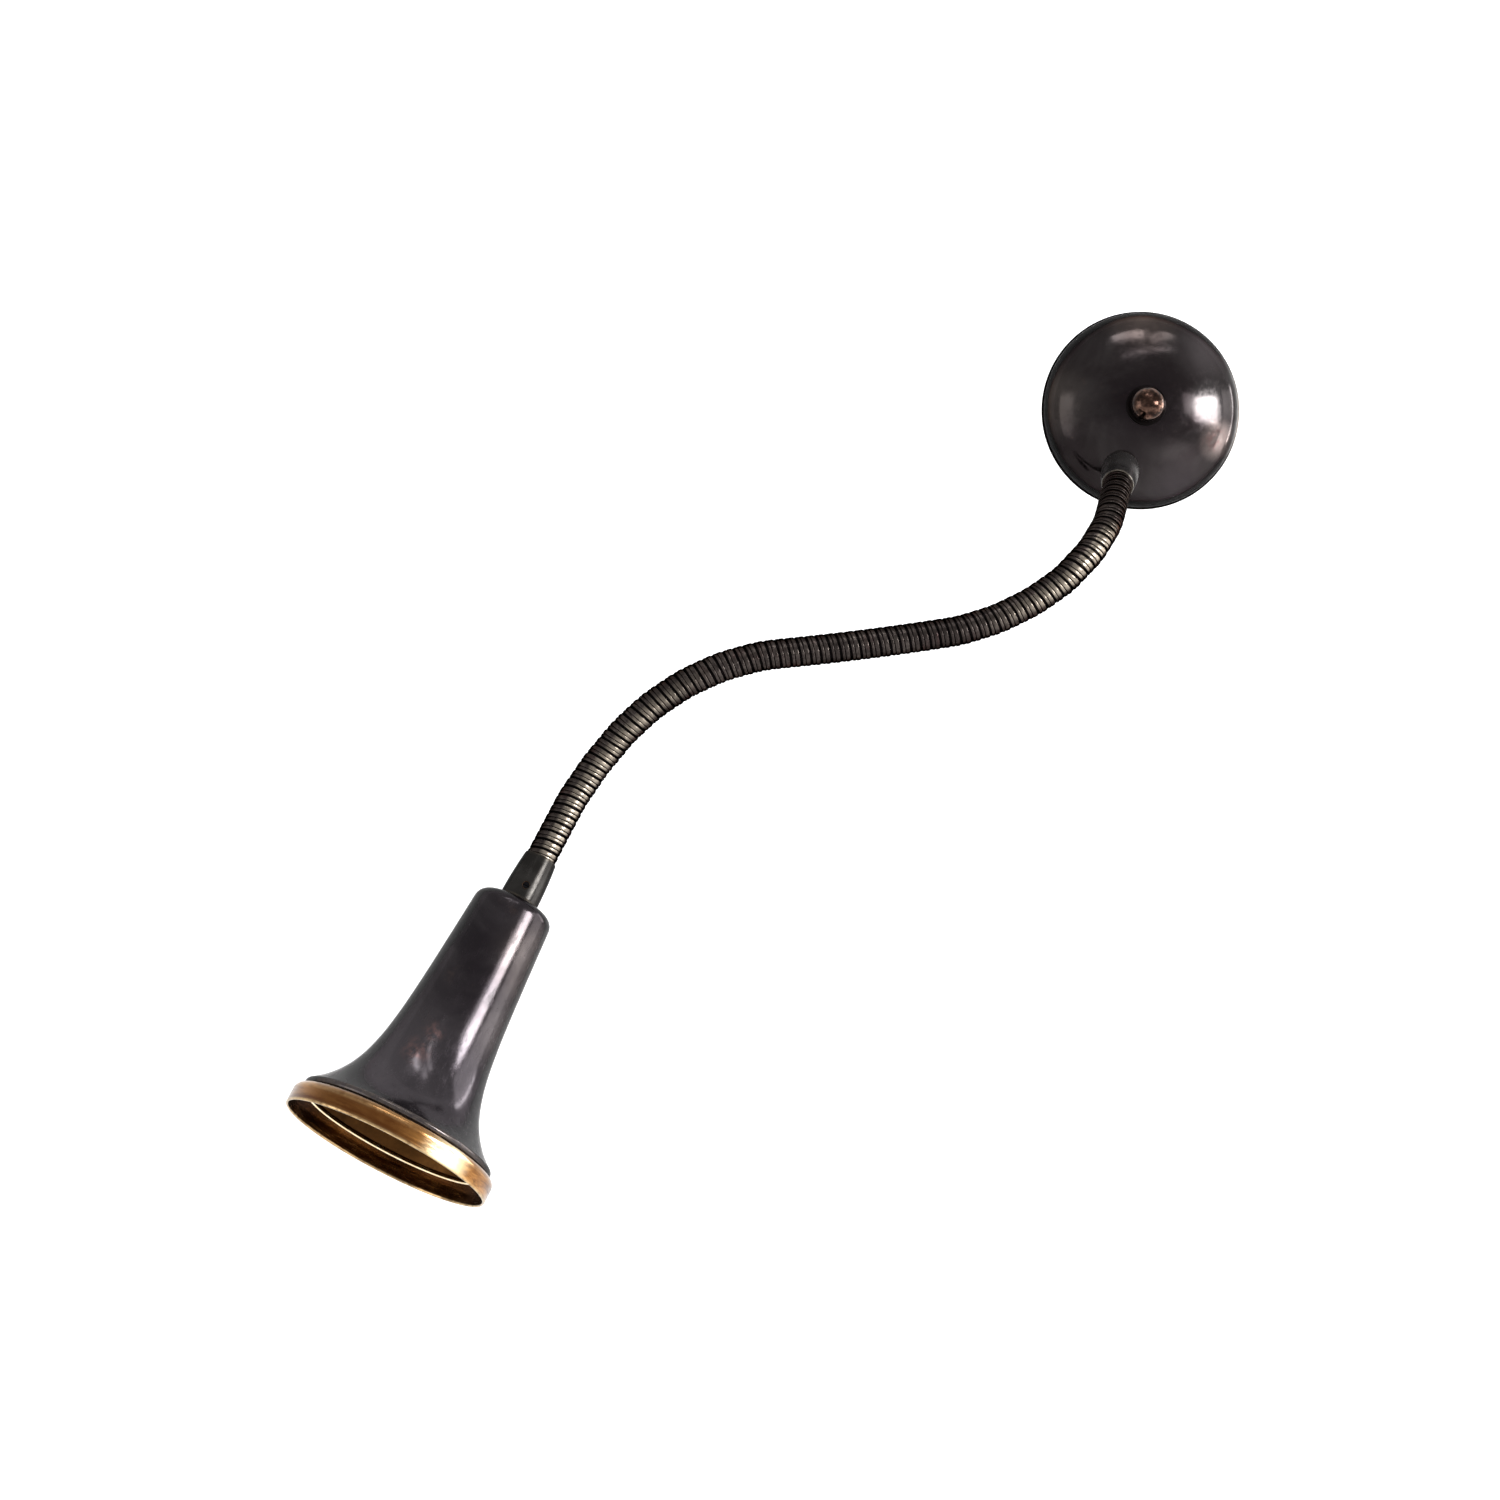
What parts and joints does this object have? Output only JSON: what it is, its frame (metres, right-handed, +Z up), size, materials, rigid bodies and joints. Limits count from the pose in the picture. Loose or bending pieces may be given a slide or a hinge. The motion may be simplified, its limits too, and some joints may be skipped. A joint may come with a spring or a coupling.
{
  "type": "gooseneck wall lamp",
  "caption": "Wall lamp with a domed canopy, a ribbed gooseneck arm in an S-curve and a long trumpet shade with a natural brass rim; blackened brass.",
  "frame": {"origin": "centre of the canopy and of the two wall screws, on the wall", "axes": "the wall is the plane Y = 0 and the lamp stands out from it towards -Y; +Z is up; +X is to the right as the lamp is faced"},
  "size_m": [0.4238, 0.2012, 0.3989],
  "materials": {
    "blackened_brass": "chemically blackened brass, satin and hand rubbed",
    "gooseneck_bronze": "blackened, burnished lighter on the crests of the turns",
    "ball_nut_brass": "aged and polished, coppery brown",
    "ring_brass": "natural brass, streaky patina",
    "zinc_steel": "zinc plated",
    "holder_brass": "plain brass",
    "porcelain": "white glaze",
    "block_plastic": "moulded, off-white",
    "flex_sheath": "black sheath, smooth"
  },
  "bodies": {
    "canopy": {"wall_bracket": "zinc_steel", "canopy_stud": "zinc_steel", "stud_lock_nut": "zinc_steel", "canopy_dome": "blackened_brass", "ball_nut_washer": "blackened_brass", "ball_nut": "ball_nut_brass", "terminal_block": "block_plastic", "bracket_screws": "zinc_steel", "canopy_ferrule": "blackened_brass", "ferrule_lock_nut": "zinc_steel", "flex": "flex_sheath", "gooseneck_canopy_end": "gooseneck_bronze"},
    "gooseneck_link_01": {"gooseneck_link_01": "gooseneck_bronze"},
    "gooseneck_link_02": {"gooseneck_link_02": "gooseneck_bronze"},
    "gooseneck_link_03": {"gooseneck_link_03": "gooseneck_bronze"},
    "gooseneck_link_04": {"gooseneck_link_04": "gooseneck_bronze"},
    "gooseneck_link_05": {"gooseneck_link_05": "gooseneck_bronze"},
    "gooseneck_link_06": {"gooseneck_link_06": "gooseneck_bronze"},
    "gooseneck_link_07": {"gooseneck_link_07": "gooseneck_bronze"},
    "gooseneck_link_08": {"gooseneck_link_08": "gooseneck_bronze"},
    "gooseneck_link_09": {"gooseneck_link_09": "gooseneck_bronze"},
    "gooseneck_link_10": {"gooseneck_link_10": "gooseneck_bronze"},
    "gooseneck_link_11": {"gooseneck_link_11": "gooseneck_bronze"},
    "gooseneck_link_12": {"gooseneck_link_12": "gooseneck_bronze"},
    "gooseneck_link_13": {"gooseneck_link_13": "gooseneck_bronze"},
    "gooseneck_link_14": {"gooseneck_link_14": "gooseneck_bronze"},
    "gooseneck_link_15": {"gooseneck_link_15": "gooseneck_bronze"},
    "gooseneck_link_16": {"gooseneck_link_16": "gooseneck_bronze"},
    "gooseneck_link_17": {"gooseneck_link_17": "gooseneck_bronze"},
    "gooseneck_link_18": {"gooseneck_link_18": "gooseneck_bronze"},
    "gooseneck_link_19": {"gooseneck_link_19": "gooseneck_bronze"},
    "gooseneck_link_20": {"gooseneck_link_20": "gooseneck_bronze"},
    "gooseneck_link_21": {"gooseneck_link_21": "gooseneck_bronze"},
    "gooseneck_link_22": {"gooseneck_link_22": "gooseneck_bronze"},
    "gooseneck_link_23": {"gooseneck_link_23": "gooseneck_bronze"},
    "gooseneck_link_24": {"gooseneck_link_24": "gooseneck_bronze"},
    "gooseneck_link_25": {"gooseneck_link_25": "gooseneck_bronze"},
    "gooseneck_link_26": {"gooseneck_link_26": "gooseneck_bronze"},
    "gooseneck_link_27": {"gooseneck_link_27": "gooseneck_bronze"},
    "gooseneck_link_28": {"gooseneck_link_28": "gooseneck_bronze"},
    "gooseneck_link_29": {"gooseneck_link_29": "gooseneck_bronze"},
    "gooseneck_link_30": {"gooseneck_link_30": "gooseneck_bronze"},
    "gooseneck_link_31": {"gooseneck_link_31": "gooseneck_bronze"},
    "gooseneck_link_32": {"gooseneck_link_32": "gooseneck_bronze"},
    "gooseneck_link_33": {"gooseneck_link_33": "gooseneck_bronze"},
    "gooseneck_link_34": {"gooseneck_link_34": "gooseneck_bronze"},
    "gooseneck_link_35": {"gooseneck_link_35": "gooseneck_bronze"},
    "shade": {"gooseneck_shade_end": "gooseneck_bronze", "shade_ferrule": "blackened_brass", "ferrule_set_screw": "zinc_steel", "shade_cap": "blackened_brass", "shade_body": "blackened_brass", "shade_ring": "ring_brass", "holder_nipple": "zinc_steel", "holder_lock_nut": "zinc_steel", "lampholder_cap": "holder_brass", "lampholder_insulator": "porcelain", "lampholder_contacts": "holder_brass", "lampholder_shell": "holder_brass", "lampholder_sleeve": "porcelain"}
  },
  "joints": [
    {"name": "tilt_01", "type": "hinge", "parent": "canopy", "child": "gooseneck_link_01", "pos_m": [-0.01496, -0.04533, -0.03896], "axis": [0.9336, 0, -0.3584], "range_deg": [-20, 3], "deforming": ["flex"]},
    {"name": "swing_01", "type": "hinge", "parent": "gooseneck_link_01", "child": "gooseneck_link_02", "pos_m": [-0.01699, -0.05218, -0.04427], "axis": [-0.2759, 0.6383, -0.7187], "range_deg": [-5, 7], "deforming": ["flex"]},
    {"name": "tilt_02", "type": "hinge", "parent": "gooseneck_link_02", "child": "gooseneck_link_03", "pos_m": [-0.01874, -0.05902, -0.04968], "axis": [0.941, 0.0269, -0.3374], "range_deg": [-18, 5], "deforming": ["flex"]},
    {"name": "swing_02", "type": "hinge", "parent": "gooseneck_link_03", "child": "gooseneck_link_04", "pos_m": [-0.02099, -0.06442, -0.05639], "axis": [-0.2247, 0.795, -0.5635], "range_deg": [-17.33, 5], "deforming": ["flex"]},
    {"name": "tilt_03", "type": "hinge", "parent": "gooseneck_link_04", "child": "gooseneck_link_05", "pos_m": [-0.02498, -0.06974, -0.06231], "axis": [0.8652, -0.1032, -0.4906], "range_deg": [-18, 5], "deforming": ["flex"]},
    {"name": "swing_03", "type": "hinge", "parent": "gooseneck_link_05", "child": "gooseneck_link_06", "pos_m": [-0.02932, -0.07333, -0.0692], "axis": [-0.1181, 0.9091, -0.3995], "range_deg": [-17.33, 5], "deforming": ["flex"]},
    {"name": "tilt_04", "type": "hinge", "parent": "gooseneck_link_06", "child": "gooseneck_link_07", "pos_m": [-0.0352, -0.07664, -0.075], "axis": [0.7412, -0.187, -0.6447], "range_deg": [-18, 5], "deforming": ["flex"]},
    {"name": "swing_04", "type": "hinge", "parent": "gooseneck_link_07", "child": "gooseneck_link_08", "pos_m": [-0.04116, -0.07805, -0.08145], "axis": [0.0336, 0.9695, -0.2427], "range_deg": [-17.33, 5], "deforming": ["flex"]},
    {"name": "tilt_05", "type": "hinge", "parent": "gooseneck_link_08", "child": "gooseneck_link_09", "pos_m": [-0.0484, -0.07907, -0.08653], "axis": [0.5809, -0.2165, -0.7847], "range_deg": [-5, 7.33], "deforming": ["flex"]},
    {"name": "swing_05", "type": "hinge", "parent": "gooseneck_link_09", "child": "gooseneck_link_10", "pos_m": [-0.05565, -0.08044, -0.09151], "axis": [0.0004, 0.9641, -0.2657], "range_deg": [-13.33, 5], "deforming": ["flex"]},
    {"name": "tilt_06", "type": "hinge", "parent": "gooseneck_link_10", "child": "gooseneck_link_11", "pos_m": [-0.06356, -0.08152, -0.09543], "axis": [0.4568, -0.2366, -0.8576], "range_deg": [-5, 7.33], "deforming": ["flex"]},
    {"name": "swing_06", "type": "hinge", "parent": "gooseneck_link_11", "child": "gooseneck_link_12", "pos_m": [-0.07147, -0.08295, -0.09925], "axis": [-0.0358, 0.9583, -0.2834], "range_deg": [-13.33, 5], "deforming": ["flex"]},
    {"name": "tilt_07", "type": "hinge", "parent": "gooseneck_link_12", "child": "gooseneck_link_13", "pos_m": [-0.07989, -0.08405, -0.10193], "axis": [0.3231, -0.2573, -0.9107], "range_deg": [-5, 7.33], "deforming": ["flex"]},
    {"name": "swing_07", "type": "hinge", "parent": "gooseneck_link_13", "child": "gooseneck_link_14", "pos_m": [-0.08829, -0.0855, -0.10449], "axis": [-0.0743, 0.9525, -0.2954], "range_deg": [-13.33, 5], "deforming": ["flex"]},
    {"name": "tilt_08", "type": "hinge", "parent": "gooseneck_link_14", "child": "gooseneck_link_15", "pos_m": [-0.09701, -0.08661, -0.10586], "axis": [0.183, -0.2782, -0.9429], "range_deg": [-5, 5.25], "deforming": ["flex"]},
    {"name": "swing_08", "type": "hinge", "parent": "gooseneck_link_15", "child": "gooseneck_link_16", "pos_m": [-0.10573, -0.08775, -0.10722], "axis": [-0.0786, 0.9519, -0.2961], "range_deg": [-5.75, 5], "deforming": ["flex"]},
    {"name": "tilt_09", "type": "hinge", "parent": "gooseneck_link_16", "child": "gooseneck_link_17", "pos_m": [-0.11448, -0.08886, -0.10846], "axis": [0.1701, -0.2799, -0.9449], "range_deg": [-5, 5.25], "deforming": ["flex"]},
    {"name": "swing_09", "type": "hinge", "parent": "gooseneck_link_17", "child": "gooseneck_link_18", "pos_m": [-0.12322, -0.09, -0.1097], "axis": [-0.0828, 0.9514, -0.2967], "range_deg": [-5.75, 5], "deforming": ["flex"]},
    {"name": "tilt_10", "type": "hinge", "parent": "gooseneck_link_18", "child": "gooseneck_link_19", "pos_m": [-0.13198, -0.09112, -0.11082], "axis": [0.1572, -0.2815, -0.9466], "range_deg": [-5, 5.25], "deforming": ["flex"]},
    {"name": "swing_10", "type": "hinge", "parent": "gooseneck_link_19", "child": "gooseneck_link_20", "pos_m": [-0.14073, -0.09227, -0.11193], "axis": [-0.0871, 0.9508, -0.2972], "range_deg": [-5.75, 5], "deforming": ["flex"]},
    {"name": "tilt_11", "type": "hinge", "parent": "gooseneck_link_20", "child": "gooseneck_link_21", "pos_m": [-0.1495, -0.09338, -0.11293], "axis": [0.1444, -0.2832, -0.9481], "range_deg": [-5, 5.25], "deforming": ["flex"]},
    {"name": "swing_11", "type": "hinge", "parent": "gooseneck_link_21", "child": "gooseneck_link_22", "pos_m": [-0.15827, -0.09454, -0.11392], "axis": [-0.0914, 0.9503, -0.2977], "range_deg": [-5.75, 5], "deforming": ["flex"]},
    {"name": "tilt_12", "type": "hinge", "parent": "gooseneck_link_22", "child": "gooseneck_link_23", "pos_m": [-0.16706, -0.09566, -0.11481], "axis": [0.1314, -0.2849, -0.9495], "range_deg": [-8.8, 5], "deforming": ["flex"]},
    {"name": "swing_12", "type": "hinge", "parent": "gooseneck_link_23", "child": "gooseneck_link_24", "pos_m": [-0.17588, -0.09622, -0.11586], "axis": [-0.0258, 0.9565, -0.2905], "range_deg": [-5, 13.4], "deforming": ["flex"]},
    {"name": "tilt_13", "type": "hinge", "parent": "gooseneck_link_24", "child": "gooseneck_link_25", "pos_m": [-0.18443, -0.09714, -0.11814], "axis": [0.2748, -0.2726, -0.922], "range_deg": [-8.8, 5], "deforming": ["flex"]},
    {"name": "swing_13", "type": "hinge", "parent": "gooseneck_link_25", "child": "gooseneck_link_26", "pos_m": [-0.19298, -0.09749, -0.12058], "axis": [0.0379, 0.9613, -0.2729], "range_deg": [-5, 13.4], "deforming": ["flex"]},
    {"name": "tilt_14", "type": "hinge", "parent": "gooseneck_link_26", "child": "gooseneck_link_27", "pos_m": [-0.20108, -0.0982, -0.12419], "axis": [0.4122, -0.2639, -0.872], "range_deg": [-8.8, 5], "deforming": ["flex"]},
    {"name": "swing_14", "type": "hinge", "parent": "gooseneck_link_27", "child": "gooseneck_link_28", "pos_m": [-0.20914, -0.09834, -0.12796], "axis": [0.0982, 0.9644, -0.2454], "range_deg": [-5, 13.4], "deforming": ["flex"]},
    {"name": "tilt_15", "type": "hinge", "parent": "gooseneck_link_28", "child": "gooseneck_link_29", "pos_m": [-0.21658, -0.09882, -0.13282], "axis": [0.5401, -0.2588, -0.8008], "range_deg": [-8.8, 5], "deforming": ["flex"]},
    {"name": "swing_15", "type": "hinge", "parent": "gooseneck_link_29", "child": "gooseneck_link_30", "pos_m": [-0.22395, -0.09873, -0.13782], "axis": [0.1534, 0.9659, -0.2087], "range_deg": [-5, 13.4], "deforming": ["flex"]},
    {"name": "tilt_16", "type": "hinge", "parent": "gooseneck_link_30", "child": "gooseneck_link_31", "pos_m": [-0.23053, -0.09898, -0.1438], "axis": [0.6552, -0.2575, -0.7102], "range_deg": [-8.8, 5], "deforming": ["flex"]},
    {"name": "swing_16", "type": "hinge", "parent": "gooseneck_link_31", "child": "gooseneck_link_32", "pos_m": [-0.23701, -0.09865, -0.1499], "axis": [0.2021, 0.9656, -0.1636], "range_deg": [-5, 13.4], "deforming": ["flex"]},
    {"name": "tilt_17", "type": "hinge", "parent": "gooseneck_link_32", "child": "gooseneck_link_33", "pos_m": [-0.24257, -0.09867, -0.15685], "axis": [0.7545, -0.26, -0.6026], "range_deg": [-5, 12], "deforming": ["flex"]},
    {"name": "swing_17", "type": "hinge", "parent": "gooseneck_link_33", "child": "gooseneck_link_34", "pos_m": [-0.2483, -0.09973, -0.16357], "axis": [0.1245, 0.9582, -0.2576], "range_deg": [-5, 12.5], "deforming": ["flex"]},
    {"name": "tilt_18", "type": "hinge", "parent": "gooseneck_link_34", "child": "gooseneck_link_35", "pos_m": [-0.25311, -0.10109, -0.17094], "axis": [0.8322, -0.2422, -0.4988], "range_deg": [-5, 12], "deforming": ["flex"]},
    {"name": "swing_18", "type": "hinge", "parent": "gooseneck_link_35", "child": "shade", "pos_m": [-0.25802, -0.10347, -0.17797], "axis": [0.0577, 0.9325, -0.3565], "range_deg": [-5, 12.5], "deforming": ["flex"]}
  ]
}
